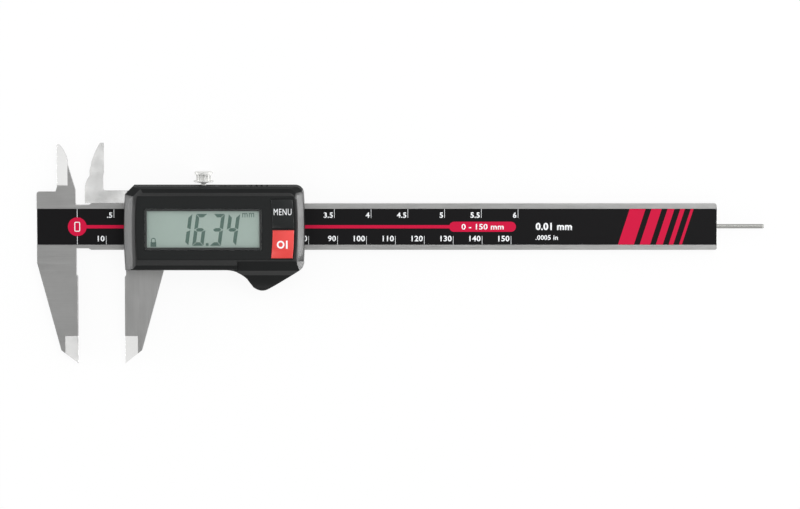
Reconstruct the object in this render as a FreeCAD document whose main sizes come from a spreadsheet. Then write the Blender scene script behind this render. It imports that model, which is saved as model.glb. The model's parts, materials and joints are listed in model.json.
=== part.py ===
"""Digital caliper for 150 mm, lying on its back, as an assembly of separate pieces.

The pieces are drawn from two datums. The fixed ones start at the fixed jaw's measuring face (x = 0) on the
beam's centreline (y = 0), and the sliding ones at the moving jaw's measuring face. Height 0 is the surface
that the caliper lies on. Millimetres throughout.
"""
import FreeCAD, Part
import math
import os

import Sketcher
from FreeCAD import Vector

SIZES = (
    # what the display reads, and how far the slider can go
    ("reading", 16.34),
    ("reach", 150.0),
    # beam
    ("beam_over", 3.3),
    ("beam_width", 16.0),
    ("beam_thick", 3.5),
    ("beam_corner", 0.8),
    ("head_width", 14.0),
    ("head_top", 12.2),
    ("head_corner", 0.9),
    ("neck_step", 0.6),
    ("notch_length", 3.9),
    ("notch_depth", 0.52),
    ("recess_width", 12.5),
    ("recess_depth", 1.0),
    ("strip_thick", 0.65),
    ("film_thick", 0.15),
    ("film_margin", 0.1),
    ("groove_start", 40.0),
    ("groove_width", 2.2),
    ("groove_depth", 1.95),
    # outer jaws
    ("jaw_reach", 47.6),
    ("jaw_relief", 0.45),
    ("jaw_face_top", 17.4),
    ("jaw_face_ramp", 0.6),
    ("jaw_shoulder", 12.55),
    ("jaw_taper_width", 5.8),
    ("jaw_taper_start", 42.95),
    ("moving_jaw_width", 13.4),
    ("moving_jaw_shoulder", 15.5),
    ("ground_start", 38.0),
    ("ground_width", 4.4),
    ("ground_depth", 1.15),
    # inner blades
    ("blade_edge", 7.1),
    ("blade_reach", 28.5),
    ("moving_blade_over", 0.5),
    ("blade_root", 14.3),
    ("blade_facet", 3.85),
    ("blade_land", 0.25),
    ("blade_bend", 22.9),
    ("blade_bow", 11.0),
    ("moving_blade_root", 19.1),
    ("moving_blade_bow", 24.0),
    ("arm_reach", 13.76),
    ("arm_shoulder", 13.0),
    ("arm_bend", 1.65),
    ("arm_drop", 9.6),
    ("arm_bow", 6.0),
    # slider frame and back cover
    ("slide_gap", 0.05),
    ("cover_thick", 1.0),
    ("cover_margin", 0.2),
    ("cover_corner", 1.5),
    ("frame_left", 1.6),
    ("frame_inset", 2.4),
    ("frame_top", 12.4),
    ("frame_bottom", 11.6),
    ("frame_front", 6.0),
    ("window_left", 7.0),
    ("window_end", 7.0),
    ("window_width", 12.0),
    ("sensor_ledge", 2.0),
    ("sensor_rim", 1.2),
    ("sensor_thick", 1.0),
    ("wiper_left", 2.8),
    ("wiper_inset", 3.6),
    ("wiper_thick", 1.2),
    ("wiper_gap", 0.04),
    ("gib_thick", 0.88),
    ("gib_left", 4.0),
    ("gib_inset", 2.4),
    ("gib_screw_left", 16.0),
    ("gib_screw_inset", 20.0),
    ("gib_screw_size", 1.6),
    ("cover_screw_left", 5.5),
    ("cover_screw_inset", 3.0),
    ("housing_screw_left", 9.5),
    ("housing_screw_gap", 4.2),
    ("screw_row_top", 10.7),
    ("screw_row_bottom", 9.8),
    ("screw_size", 1.6),
    ("screw_head", 2.8),
    ("screw_head_thick", 0.6),
    ("screw_slot", 0.4),
    ("screw_fit", 0.1),
    ("cover_screw_depth", 3.0),
    ("housing_screw_depth", 8.0),
    # depth rod, its holder, and the end stop
    ("rod_size", 1.5),
    ("rod_rise", 1.05),
    ("rod_inset", 10.0),
    ("rod_spigot", 0.9),
    ("rod_spigot_length", 3.0),
    ("rod_tip", 0.3),
    ("holder_length", 8.0),
    ("holder_gap", 0.1),
    ("holder_pin", 0.9),
    ("stop_gap", 1.4),
    ("stop_length", 6.5),
    ("stop_width", 12.0),
    ("stop_screw_spread", 4.2),
    ("stop_screw_depth", 1.5),
    # lock screw and its pad
    ("lock_place", 27.4),
    ("lock_height", 3.6),
    ("lock_shank", 1.96),
    ("lock_hole", 2.1),
    ("lock_rim", 6.3),
    ("lock_body", 5.05),
    ("lock_flange", 6.9),
    ("lock_cone", 2.6),
    ("lock_lift", 0.75),
    ("lock_cone_thick", 0.4),
    ("lock_flange_thick", 0.4),
    ("lock_body_length", 2.2),
    ("lock_rim_thick", 0.95),
    ("lock_flute", 0.6),
    ("lock_touch", 0.02),
    ("pad_size", 1.8),
    ("pad_length", 1.1),
    ("pad_play", 0.09),
    # housing
    ("housing_length", 62.4),
    ("housing_half", 14.4),
    ("housing_bottom", 1.3),
    ("housing_edge", 12.2),
    ("housing_shoulder", 14.5),
    ("housing_front", 15.0),
    ("bevel_left", 2.9),
    ("bevel_right", 2.2),
    ("bevel_long", 0.6),
    ("crown_left", 0.9),
    ("crown_right", 0.2),
    ("crown_long", 1.3),
    ("bow_radius", 95.0),
    ("side_radius", 184.0),
    ("bow_left", 0.7),
    ("bow_foot", 0.55),
    ("bow_head", 0.35),
    ("corner_radius", 3.0),
    ("corner_cut", 2.6),
    ("housing_fit", 0.1),
    ("skirt_height", 4.7),
    ("skirt_gap", 0.3),
    ("gasket_thick", 0.3),
    ("gasket_rim", 0.4),
    ("floor_thick", 1.0),
    ("room_left", 6.4),
    ("room_gap", 2.2),
    ("room_top", 8.8),
    ("room_bottom", 8.6),
    ("board_left", 6.0),
    ("board_inset", 4.4),
    ("board_top", 10.1),
    ("board_bottom", 9.4),
    ("board_fit", 0.2),
    ("board_thick", 0.8),
    ("chip_size", 6.4),
    ("chip_thick", 1.2),
    ("pin_left", 12.0),
    ("pin_pitch", 2.0),
    ("pin_size", 0.6),
    ("pin_opening", 2.4),
    # front panel, window and display
    ("panel_left", 5.0),
    ("panel_inset", 3.5),
    ("panel_foot", 0.2),
    ("panel_top", 11.35),
    ("panel_bottom", 10.65),
    ("panel_thick", 1.4),
    ("panel_sunk", 0.2),
    ("panel_fit", 0.05),
    ("panel_corner", 0.8),
    ("lcd_left", 8.3),
    ("lcd_gap", 3.9),
    ("lcd_top", 6.15),
    ("lcd_bottom", 6.45),
    ("window_rim", 0.9),
    ("window_thick", 0.6),
    ("glass_rim", 1.5),
    ("glass_thick", 1.3),
    ("glass_gap", 0.1),
    ("strip_width", 1.2),
    # buttons and the membrane under them
    ("button_rim", 0.5),
    ("button_width", 7.5),
    ("button_split", 0.25),
    ("button_gap", 0.5),
    ("menu_top", 10.4),
    ("zero_bottom", 10.1),
    ("button_rise", 0.3),
    ("button_fit", 0.1),
    ("button_flange", 0.35),
    ("button_flange_thick", 0.7),
    ("button_stroke", 0.4),
    ("membrane_thick", 0.3),
    # battery and its door
    ("cell_size", 20.0),
    ("cell_thick", 3.2),
    ("cell_inset", 12.2),
    ("cell_y", -0.7),
    ("cell_fit", 0.1),
    ("contact_thick", 0.1),
    ("door_lead", 0.9),
    ("door_seat", 11.1),
    ("door_step", 12.3),
    ("door_step_height", 7.0),
    ("door_gap", 0.05),
    ("door_bottom", 1.6),
    ("tongue_height", 10.9),
    ("tongue_thick", 0.8),
    ("tongue_depth", 0.75),
    ("tongue_inset", 1.8),
    ("thumb_reach", 21.8),
    ("thumb_inset", 14.65),
    ("thumb_radius", 4.2),
    ("thumb_tail_length", 3.9),
    ("thumb_tail_drop", 0.77),
    ("thumb_bend", 10.3),
    ("thumb_ramp_inset", 1.25),
    ("thumb_corner", 3.0),
    ("thumb_crest", 1.6),
    ("thumb_floor", 6.4),
    # data port on the top edge
    ("port_inset", 20.4),
    ("port_length", 9.5),
    ("port_travel", 9.0),
    ("port_low", 6.6),
    ("port_high", 9.8),
    ("port_lip", 0.5),
    ("port_lip_thick", 0.6),
    ("port_flange", 0.6),
    ("port_fit", 0.05),
    ("port_rib", 0.4),
    ("port_rib_pitch", 1.8),
    ("port_rib_lead", 1.7),
    ("port_rib_width", 0.6),
    ("port_pad", 0.3),
)
RIBS = 4
FLUTES = 12
PORT_PADS = 5
HEADER_PINS = 6
STEEP = 32.2


class Size:
    """A number that remembers the formula it came from, so that a feature can be bound to it."""

    def __init__(self, number, formula):
        self.number = number
        self.formula = formula

    def joined(self, sign, other, number):
        return Size(number, "(%s %s %s)" % (self.formula, sign, other.formula))

    def __add__(self, other):
        other = sized(other)
        return self.joined("+", other, self.number + other.number)

    def __sub__(self, other):
        other = sized(other)
        return self.joined("-", other, self.number - other.number)

    def __mul__(self, other):
        other = sized(other)
        return self.joined("*", other, self.number * other.number)

    def __truediv__(self, other):
        other = sized(other)
        return self.joined("/", other, self.number / other.number)

    def __neg__(self):
        return sized(0.0) - self

    def __radd__(self, other):
        return sized(other) + self

    def __rsub__(self, other):
        return sized(other) - self

    def __rmul__(self, other):
        return sized(other) * self


def sized(value):
    """A Size for a plain number too."""
    if isinstance(value, Size):
        return value
    return Size(float(value), "%.6f" % value)


class Sheet:
    """The driving sizes, in a spreadsheet with an alias for each."""

    def __init__(self, doc):
        self.cells = doc.addObject("Spreadsheet::Sheet", "Sizes")
        for row, (alias, number) in enumerate(SIZES, start=1):
            self.cells.set("A%d" % row, alias.replace("_", " "))
            self.cells.set("B%d" % row, str(number))
            self.cells.setAlias("B%d" % row, alias)
        doc.recompute()

    def __getattr__(self, alias):
        return Size(float(getattr(self.cells, alias)), "Sizes." + alias)


doc = FreeCAD.newDocument("caliper")
s = Sheet(doc)

# places that follow the housing's length, and the beam's length from how far the slider goes
frame_right = s.housing_length - s.frame_inset
window_right = frame_right - s.window_end
wiper_right = frame_right - s.wiper_inset
gib_right = frame_right - s.gib_inset
gib_screw_right = frame_right - s.gib_screw_inset
cover_screw_right = frame_right - s.cover_screw_inset
rod_start = frame_right - s.rod_inset
board_right = s.housing_length - s.board_inset
panel_right = s.housing_length - s.panel_inset
button_right = panel_right - s.button_rim
button_left = button_right - s.button_width
lcd_right = button_left - s.lcd_gap
cell_x = s.housing_length - s.cell_inset
room_right = cell_x - s.cell_size / 2 - s.room_gap
housing_screw_right = cell_x - s.cell_size / 2 - s.housing_screw_gap
door_left = cell_x - s.cell_size / 2 - s.door_lead
tongue_left = door_left + s.tongue_inset
thumb_tip = s.housing_length - s.thumb_inset
thumb_tail = door_left - s.thumb_tail_length
port_left = s.housing_length - s.port_inset
beam_length = s.reach + frame_right + s.stop_gap + s.stop_length + s.beam_over

# places that several pieces share
moving_blade_reach = s.blade_reach + s.moving_blade_over
half_beam = s.beam_width / 2
beam_back = s.cover_thick + s.slide_gap
beam_front = beam_back + s.beam_thick
beam_middle = beam_back + s.beam_thick / 2
recess_floor = beam_front - s.recess_depth
film_top = recess_floor + s.strip_thick + s.film_thick
channel_half = half_beam + s.slide_gap
gib_slot = channel_half + s.gib_thick + s.slide_gap
lips = beam_front + s.slide_gap
rod_height = beam_back + s.rod_rise
floor_bottom = s.frame_front + s.gasket_thick
floor_top = floor_bottom + s.floor_thick
board_bottom_face = floor_top + s.cell_thick + s.contact_thick * 3
board_top_face = board_bottom_face + s.board_thick
ledge = s.housing_front - s.panel_sunk - s.panel_thick
panel_top_face = s.housing_front - s.panel_sunk
flange_top = ledge - s.slide_gap
origin_x = (beam_length + s.reading - s.head_width) / 2
origin_y = (moving_blade_reach - s.jaw_reach) / 2
FIXED = (-origin_x, -origin_y)
SLIDING = (s.reading - origin_x, -origin_y)


def bind(thing, name, value):
    """Sets one property or constraint from a size, and binds it to the sheet."""
    value = sized(value)
    if "Sizes." in value.formula:
        thing.setExpression(name, value.formula)


def bent_edge(start, end, radius):
    """The arc from start to end; a positive radius runs counterclockwise."""
    chord = end - start
    rise = math.sqrt(max(radius * radius - chord.Length ** 2 / 4, 0.0))
    side = Vector(-chord.y, chord.x, 0).normalize()
    centre = (start + end) / 2 + side * (rise if radius > 0 else -rise)
    first, last = (start, end) if radius > 0 else (end, start)
    begin = math.atan2(first.y - centre.y, first.x - centre.x)
    finish = math.atan2(last.y - centre.y, last.x - centre.x)
    return Part.ArcOfCircle(Part.Circle(centre, Vector(0, 0, 1), abs(radius)), begin, finish)


def draw_outline(sketch, corners):
    """A closed outline, counterclockwise. A corner is (across, up), or (across, up, radius) where the edge
    that starts there is an arc: outwards for a positive radius, inwards for a negative one."""
    first = sketch.GeometryCount
    count = len(corners)
    points = [Vector(sized(c[0]).number, sized(c[1]).number, 0) for c in corners]
    for i, corner in enumerate(corners):
        start, end = points[i], points[(i + 1) % count]
        if len(corner) == 3:
            sketch.addGeometry(bent_edge(start, end, sized(corner[2]).number), False)
        else:
            sketch.addGeometry(Part.LineSegment(start, end), False)
    backwards = [len(c) == 3 and sized(c[2]).number < 0 for c in corners]
    starts = [2 if back else 1 for back in backwards]
    ends = [1 if back else 2 for back in backwards]
    rules = []
    values = []
    for i, corner in enumerate(corners):
        rules.append(Sketcher.Constraint("Coincident", first + i, ends[i], first + (i + 1) % count,
                                         starts[(i + 1) % count]))
        values.append(None)
        for kind, value in (("DistanceX", corner[0]), ("DistanceY", corner[1])):
            rules.append(Sketcher.Constraint(kind, -1, 1, first + i, starts[i], sized(value).number))
            values.append(value)
        if len(corner) == 3:
            radius = corner[2] if not backwards[i] else -1 * sized(corner[2])
            rules.append(Sketcher.Constraint("Radius", first + i, sized(radius).number))
            values.append(radius)
    add_rules(sketch, rules, values)


def draw_circle(sketch, across, up, diameter):
    """A circle by its centre and diameter."""
    centre = Vector(sized(across).number, sized(up).number, 0)
    circle = Part.Circle(centre, Vector(0, 0, 1), sized(diameter).number / 2)
    place = sketch.addGeometry(circle, False)
    rules = [Sketcher.Constraint("DistanceX", -1, 1, place, 3, centre.x),
             Sketcher.Constraint("DistanceY", -1, 1, place, 3, centre.y),
             Sketcher.Constraint("Diameter", place, sized(diameter).number)]
    add_rules(sketch, rules, [across, up, diameter])


def add_rules(sketch, rules, values):
    """Adds constraints together and binds each to its size."""
    start = sketch.ConstraintCount
    sketch.addConstraint(rules)
    for offset, value in enumerate(values):
        if value is not None:
            bind(sketch, "Constraints[%d]" % (start + offset), value)


def box(left, right, bottom, top):
    """A rectangle's corners, counterclockwise."""
    return [(left, bottom), (right, bottom), (right, top), (left, top)]


def rounded_box(left, right, bottom, top, radius):
    """A rectangle with round corners."""
    return [(left + radius, bottom), (right - radius, bottom, radius), (right, bottom + radius),
            (right, top - radius, radius), (right - radius, top), (left + radius, top, radius),
            (left, top - radius), (left, bottom + radius, radius)]


class Piece:
    """One sub-part as a body of features. A shape is a list of corners, or a circle (across, up, diameter)."""

    PLANES = {"top": "XY_Plane", "front": "XZ_Plane", "side": "YZ_Plane"}

    def __init__(self, label, place):
        self.body = doc.addObject("PartDesign::Body", label)
        self.body.Label = label
        bind(self.body, "Placement.Base.x", place[0])
        bind(self.body, "Placement.Base.y", place[1])
        self.count = 0

    def sketch(self, shapes, view, level):
        """A sketch seen from the top (x, y), the front (x, z) or the side (y, z), at a level on that axis."""
        self.count += 1
        sketch = self.body.newObject("Sketcher::SketchObject", "%s_sketch_%d" % (self.body.Label, self.count))
        plane = [f for f in self.body.Origin.OriginFeatures if f.Role == self.PLANES[view]][0]
        sketch.AttachmentSupport = [(plane, "")]
        sketch.MapMode = "FlatFace"
        offset = -sized(level) if view == "front" else sized(level)
        sketch.AttachmentOffset = FreeCAD.Placement(Vector(0, 0, offset.number), FreeCAD.Rotation())
        bind(sketch, "AttachmentOffset.Base.z", offset)
        for shape in shapes:
            if isinstance(shape, tuple):
                draw_circle(sketch, *shape)
            else:
                draw_outline(sketch, shape)
        sketch.Visibility = False
        return sketch

    def feature(self, kind, sketch):
        feature = self.body.newObject("PartDesign::" + kind, "%s_%s_%d" % (self.body.Label, kind, self.count))
        feature.Profile = sketch
        return feature

    def pad(self, low, high, *shapes, view="top"):
        """Adds the shapes between two levels of the view's axis."""
        level = high if view == "front" else low
        pad = self.feature("Pad", self.sketch(shapes, view, level))
        pad.Length = (sized(high) - low).number
        bind(pad, "Length", sized(high) - low)
        doc.recompute()
        return self

    def cut(self, low, high, *shapes, view="top"):
        """Cuts the shapes away between two levels of the view's axis."""
        before = self.body.Shape.Volume
        level = low if view == "front" else high
        cut = self.feature("Pocket", self.sketch(shapes, view, level))
        cut.Length = (sized(high) - low).number
        bind(cut, "Length", sized(high) - low)
        doc.recompute()
        if not self.body.Shape.Volume < before - 1e-6:
            raise RuntimeError("%s: cut %d took nothing away" % (self.body.Label, self.count))
        return self

    def spin(self, profile, centre_x, centre_z):
        """Turns a profile of (radius, y) about an upright line in the plan view through the given place."""
        sketch = self.sketch([[(centre_x + radius, y) for radius, y in profile]], "top", centre_z)
        axis_x = sized(centre_x)
        turn = self.feature("Revolution", sketch)
        line = sketch.addGeometry(Part.LineSegment(Vector(axis_x.number, 0, 0), Vector(axis_x.number, 1, 0)), True)
        rules = [Sketcher.Constraint("DistanceX", -1, 1, line, 1, axis_x.number),
                 Sketcher.Constraint("DistanceY", -1, 1, line, 1, 0.0),
                 Sketcher.Constraint("Vertical", line),
                 Sketcher.Constraint("DistanceY", line, 1, line, 2, 1.0)]
        add_rules(sketch, rules, [axis_x, None, None, None])
        turn.ReferenceAxis = (sketch, ["Axis0"])
        turn.Angle = 360.0
        doc.recompute()
        return self

    def loft(self, low, high, lower, upper):
        """Adds the solid that runs straight from one outline up to another."""
        base = self.sketch([lower], "top", low)
        end = self.sketch([upper], "top", high)
        loft = self.feature("AdditiveLoft", base)
        loft.Sections = [end]
        loft.Ruled = True
        doc.recompute()
        return self

    def edges(self, pick):
        return ["Edge%d" % (i + 1) for i, edge in enumerate(self.body.Shape.Edges) if pick(self.local(edge))]

    def local(self, edge):
        """An edge's box in the piece's own coordinates."""
        moved = edge.copy()
        moved.translate(-self.body.Placement.Base)
        return moved.BoundBox

    def finish_edges(self, kind, size, pick):
        """Fillets or chamfers the edges whose boxes the picker accepts."""
        names = self.edges(pick)
        if not names:
            raise RuntimeError("%s: no edge to finish" % self.body.Label)
        self.count += 1
        feature = self.body.newObject("PartDesign::" + kind, "%s_%s_%d" % (self.body.Label, kind, self.count))
        feature.Base = (self.body.Tip if self.body.Tip is not feature else feature.BaseFeature, names)
        name = "Radius" if kind == "Fillet" else "Size"
        setattr(feature, name, sized(size).number)
        bind(feature, name, size)
        self.body.Tip = feature
        doc.recompute()
        return self


def outline_between(low, high, plan, label, place):
    """A piece that is one plan outline between two heights."""
    return Piece(label, place).pad(low, high, plan)


# beam, scale and end stop

def beam_fixed_jaws():
    beam = Piece("beam_fixed_jaws", FIXED)
    edge, neck = s.blade_edge, s.neck_step
    notch_end = s.notch_length + s.notch_depth * 1.7
    outline = [
        (0, -s.jaw_reach),
        (0, -s.jaw_face_top),
        (-s.jaw_relief, s.jaw_face_ramp - s.jaw_face_top),
        (-s.jaw_relief, s.notch_depth - half_beam),
        (s.notch_length, s.notch_depth - half_beam),
        (notch_end, -half_beam),
        (beam_length - s.beam_corner, -half_beam, s.beam_corner),
        (beam_length, s.beam_corner - half_beam),
        (beam_length, half_beam - s.beam_corner, s.beam_corner),
        (beam_length - s.beam_corner, half_beam),
        (notch_end, half_beam),
        (s.notch_length, half_beam - s.notch_depth),
        (-neck, half_beam - s.notch_depth),
        (-neck, s.head_top + 0.6),
        (s.blade_facet - edge, s.blade_bend - 1.3),
        (s.blade_facet - edge, s.blade_bend, s.blade_bow),
        (0.95 - edge, s.blade_reach),
        (-edge, s.blade_reach),
        (-edge, s.blade_root),
        (0.25 - edge, s.blade_root - 0.1),
        (-edge - 0.35, s.head_top),
        (s.head_corner - s.head_width, s.head_top, s.head_corner),
        (-s.head_width, s.head_top - s.head_corner),
        (-s.head_width, -s.jaw_shoulder),
        (-s.jaw_taper_width, -s.jaw_taper_start),
    ]
    beam.pad(beam_back, beam_front, outline)
    beam.cut(beam_back, beam_middle, box(-s.head_width - 1, 1, half_beam, s.blade_reach + 1))
    beam.cut(recess_floor, beam_front, box(-s.head_width - 1, beam_length + 1, -s.recess_width / 2,
                                           s.recess_width / 2))
    beam.cut(beam_back, beam_back + s.groove_depth, box(s.groove_start, beam_length + 1, -s.groove_width / 2,
                                                        s.groove_width / 2))
    holes = [(stop_middle(), side * s.stop_screw_spread, s.screw_size) for side in (-1, 1)]
    beam.cut(beam_back, beam_back + s.stop_screw_depth + s.screw_fit, *holes)
    facet = [(s.blade_facet - edge, beam_front), (s.blade_facet - edge, beam_front + 1),
             (-edge - 1, beam_front + 1), (-edge - 1, beam_middle + s.blade_land),
             (-edge, beam_middle + s.blade_land)]
    beam.cut(s.blade_root, s.blade_reach + 1, facet, view="front")
    for ground in ground_facets(-1):
        beam.cut(-s.jaw_reach - 1, -s.ground_start, ground, view="front")


def ground_facets(side):
    """The two slopes that thin a jaw's tip, towards x = 0 from the given side."""
    front = [(side * s.ground_width, beam_front), (0, beam_front - s.ground_depth),
             (-side, beam_front - s.ground_depth), (-side, beam_front + 1), (side * s.ground_width, beam_front + 1)]
    back = [(x, 2 * beam_middle - z) for x, z in front]
    return [front if side < 0 else front[::-1], back[::-1] if side < 0 else back]


def stop_start():
    return s.reach + frame_right + s.stop_gap


def stop_middle():
    return stop_start() + s.stop_length / 2


def scale():
    """The scale circuit strip in the beam's recess, and the printed film over it."""
    left, right = s.film_margin - s.head_width, beam_length - s.film_margin
    half = s.recess_width / 2
    strip = box(left, right, s.film_margin - half, half - s.film_margin)
    outline_between(recess_floor, recess_floor + s.strip_thick, strip, "scale_strip", FIXED)
    film = box(left, right, s.film_margin / 2 - half, half - s.film_margin / 2)
    outline_between(recess_floor + s.strip_thick, film_top, film, "scale_film", FIXED)


def end_stop():
    plate = Piece("beam_end_stop", FIXED)
    plate.pad(0, beam_back, rounded_box(stop_start(), stop_start() + s.stop_length, -s.stop_width / 2,
                                        s.stop_width / 2, s.cover_corner))
    seats = [(stop_middle(), side * s.stop_screw_spread, s.screw_head + 2 * s.screw_fit) for side in (-1, 1)]
    plate.cut(0, s.screw_fit + s.screw_head_thick, *seats)
    holes = [(x, y, s.screw_size + s.screw_fit) for x, y, size in seats]
    plate.cut(0, beam_back, *holes)
    screws("end_stop_screws", FIXED, [(x, y) for x, y, size in seats], s.screw_fit, beam_back + s.stop_screw_depth)


def screws(label, place, spots, low, high):
    """Slotted cheese-head screws that go up into the part from a low head."""
    group = Piece(label, place)
    group.pad(low, low + s.screw_head_thick, *[(x, y, s.screw_head) for x, y in spots])
    group.pad(low, high, *[(x, y, s.screw_size - s.screw_fit) for x, y in spots])
    slots = [box(x - s.screw_head, x + s.screw_head, y - s.screw_slot / 2, y + s.screw_slot / 2) for x, y in spots]
    group.cut(low, low + s.screw_head_thick / 2, *slots)


# slider: frame, gib, back cover and depth rod

def slider_frame():
    frame = Piece("slider_frame", SLIDING)
    edge = s.blade_edge
    frame.pad(s.cover_thick, s.frame_front, box(s.frame_left, frame_right, -s.frame_bottom, s.frame_top))
    jaw = [
        (0, -s.jaw_reach),
        (s.jaw_taper_width, -s.jaw_taper_start),
        (s.moving_jaw_width, -s.moving_jaw_shoulder),
        (s.moving_jaw_width, -channel_half),
        (s.jaw_relief, -channel_half),
        (s.jaw_relief, s.jaw_face_ramp - s.jaw_face_top),
        (0, -s.jaw_face_top),
    ]
    frame.pad(s.cover_thick, beam_front, jaw)
    tip = moving_blade_reach
    arm = [
        (s.frame_left + 1, channel_half),
        (s.frame_left + 1, s.frame_top),
        (0.6 - edge, s.frame_top, -0.9),
        (-edge - 0.4, s.frame_top + 0.75),
        (-edge - 0.4, s.moving_blade_root - 1.75),
        (-edge, s.moving_blade_root),
        (-edge, tip),
        (-edge - 1.3, tip, s.moving_blade_bow),
        (s.arm_bend - s.arm_reach, tip - s.arm_drop),
        (s.arm_bend - s.arm_reach, tip - s.arm_drop - 1.8),
        (0.65 - s.arm_reach, s.arm_shoulder + 3, s.arm_bow),
        (-s.arm_reach, s.arm_shoulder),
        (-s.arm_reach, channel_half),
    ]
    arm_front = beam_middle - s.slide_gap
    frame.pad(s.cover_thick, arm_front, arm)
    frame.cut(-s.frame_left, frame_right + 1, box(-channel_half, channel_half, s.cover_thick - 1, lips), view="side")
    frame.cut(s.gib_left, frame_right + 1, box(channel_half - 1, gib_slot, s.cover_thick - 1, lips), view="side")
    frame.cut(lips - 1, s.frame_front, box(s.window_left, window_right, -s.window_width / 2, s.window_width / 2))
    frame.cut(s.frame_front - s.sensor_thick, s.frame_front, sensor_outline(0))
    frame.cut(lips - 1, s.frame_front, *wiper_outlines(s.housing_fit))
    frame.cut(s.cover_thick, s.cover_thick + s.cover_screw_depth + s.screw_fit,
              *[(x, y, s.screw_size) for x, y in cover_screw_spots()])
    frame.cut(s.cover_thick, s.frame_front, *[(x, y, s.screw_size + s.screw_fit) for x, y in housing_screw_spots()])
    frame.cut(s.cover_thick, s.cover_thick + s.screw_head_thick + s.screw_fit * 2,
              *[(x, y, s.screw_head + 2 * s.screw_fit) for x, y in housing_screw_spots()])
    frame.cut(gib_slot - 1, s.frame_top + 1, (s.lock_place, s.lock_height, s.lock_hole), view="front")
    frame.cut(gib_slot - 1, s.frame_top + 1, *gib_screw_spots(), view="front")
    facet = [(-edge, arm_front - s.blade_land), (-edge + 1, arm_front - s.blade_land), (-edge + 1, s.cover_thick - 1),
             (-edge - s.blade_facet, s.cover_thick - 1), (-edge - s.blade_facet, s.cover_thick)]
    frame.cut(s.moving_blade_root, tip + 1, facet[::-1], view="front")
    for ground in moving_ground_facets():
        frame.cut(-s.jaw_reach - 1, -s.ground_start, ground, view="front")


def moving_ground_facets():
    """The slopes on the moving jaw's tip, whose back lies flush with the frame's back."""
    front, back = ground_facets(1)
    shift = beam_back - s.cover_thick
    return [front, [(x, z - shift) for x, z in back]]


def cover_screw_spots():
    return [(x, y) for x in (s.cover_screw_left, cover_screw_right) for y in (s.screw_row_top, -s.screw_row_bottom)]


def housing_screw_spots():
    return [(x, y) for x in (s.housing_screw_left, housing_screw_right)
            for y in (s.screw_row_top, -s.screw_row_bottom)]


def gib_screw_spots():
    return [(x, beam_middle, s.gib_screw_size) for x in (s.gib_screw_left, gib_screw_right)]


def sensor_outline(play):
    half = s.window_width / 2 + s.sensor_rim - play
    return box(s.window_left - s.sensor_ledge + play, window_right + s.sensor_ledge - play, -half, half)


def wiper_outlines(play):
    half = s.recess_width / 2 - s.film_margin - s.housing_fit + play
    return [box(x - play, x + s.wiper_thick + play, -half, half) for x in (s.wiper_left, wiper_right)]


def gib():
    strip = box(s.gib_left + s.housing_fit, gib_right, channel_half + s.slide_gap / 2, gib_slot - s.slide_gap / 2)
    outline_between(beam_back + s.housing_fit, beam_front - s.housing_fit, strip, "gib_strip", SLIDING)
    grub = Piece("gib_screws", SLIDING)
    spots = gib_screw_spots()
    grub.pad(gib_slot - s.slide_gap / 2, s.frame_top - s.screw_slot,
             *[(x, z, size - s.screw_fit) for x, z, size in spots], view="front")
    slots = [box(x - size, x + size, z - s.screw_slot / 2, z + s.screw_slot / 2) for x, z, size in spots]
    grub.cut(s.frame_top - s.screw_slot * 3, s.frame_top, *slots, view="front")


def scale_wipers():
    wipers = Piece("scale_wipers", SLIDING)
    wipers.pad(film_top + s.wiper_gap, s.frame_front, *wiper_outlines(0))


def back_cover():
    cover = Piece("back_cover", SLIDING)
    gap = s.cover_margin
    cover.pad(0, s.cover_thick, rounded_box(s.frame_left + gap, frame_right - gap, gap - s.frame_bottom,
                                            s.frame_top - gap, s.cover_corner))
    spots = cover_screw_spots()
    cover.cut(0, s.screw_fit + s.screw_head_thick, *[(x, y, s.screw_head + 2 * s.screw_fit) for x, y in spots])
    cover.cut(0, s.cover_thick, *[(x, y, s.screw_size + s.screw_fit) for x, y in spots])
    cover.cut(0, s.cover_thick, (holder_pin_place(), 0, s.holder_pin))
    screws("back_cover_screws", SLIDING, spots, s.screw_fit, s.cover_thick + s.cover_screw_depth)


def holder_pin_place():
    return rod_start - s.holder_length + s.holder_length / 4


def depth_rod():
    """The rod in the beam's groove, its holder on the back cover, and the pin through both."""
    rod = Piece("depth_rod", SLIDING)
    rod.pad(rod_start, beam_length - s.rod_tip, (0, rod_height, s.rod_size), view="side")
    rod.pad(beam_length - s.rod_tip, beam_length, (0, rod_height, s.rod_size - s.rod_tip), view="side")
    rod.pad(rod_start - s.rod_spigot_length, rod_start, (0, rod_height, s.rod_spigot), view="side")
    half = s.groove_width / 2 - s.holder_gap
    top = beam_back + s.groove_depth - s.holder_gap
    holder = Piece("depth_rod_holder", SLIDING)
    holder.pad(s.cover_thick, top, box(rod_start - s.holder_length, rod_start, -half, half))
    holder.cut(rod_start - s.rod_spigot_length, rod_start, (0, rod_height, s.rod_spigot), view="side")
    holder.cut(s.cover_thick, top, (holder_pin_place(), 0, s.holder_pin))
    pin = Piece("holder_pin", SLIDING)
    pin.pad(s.screw_fit, top - s.screw_fit, (holder_pin_place(), 0, s.holder_pin))


# lock screw

def pad_start():
    return gib_slot - s.slide_gap / 2 + s.pad_play


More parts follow.
